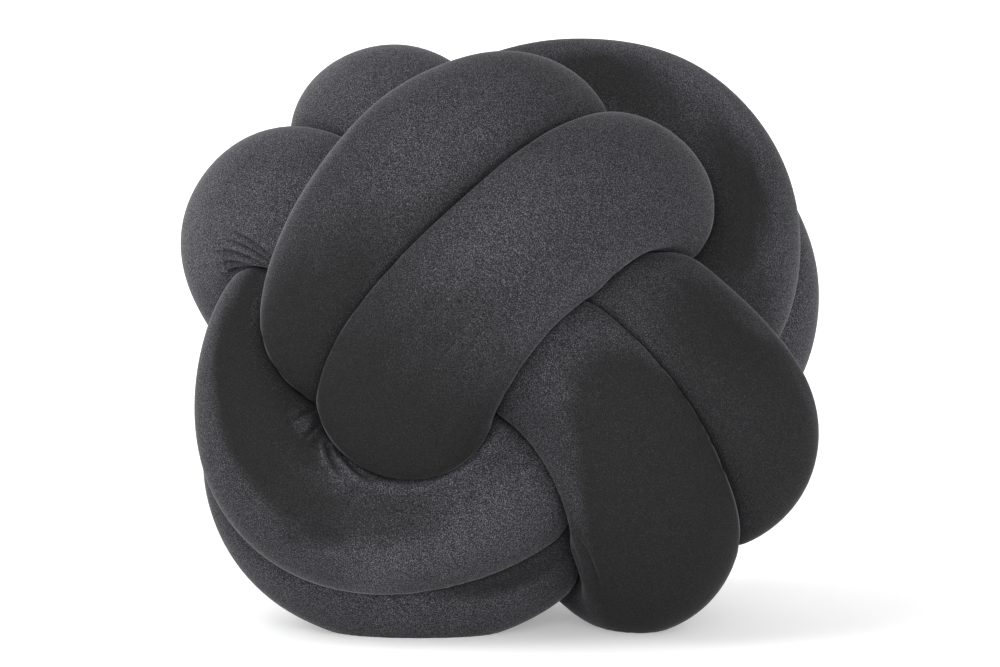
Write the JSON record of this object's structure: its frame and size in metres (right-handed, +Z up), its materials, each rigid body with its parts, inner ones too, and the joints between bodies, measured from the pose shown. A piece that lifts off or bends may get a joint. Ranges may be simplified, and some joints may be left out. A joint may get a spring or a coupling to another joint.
{
  "type": "knot cushion",
  "caption": "Round cushion made of one long stuffed velvet tube worked into a ball knot, its soft strands pressed flat where they cross.",
  "frame": {"origin": "middle of the bounding box, on the floor that the cushion rests on", "axes": "+Z up; -Y is the side seen in the picture, where two strands run side by side from low on the left to high on the right; +X to the viewer's right"},
  "size_m": [0.3088, 0.3108, 0.2801],
  "materials": {
    "velvet": "short-pile charcoal velvet, matt with a soft sheen at grazing angles"
  },
  "bodies": {
    "root": {"knotted_strand": "velvet"}
  },
  "joints": []
}
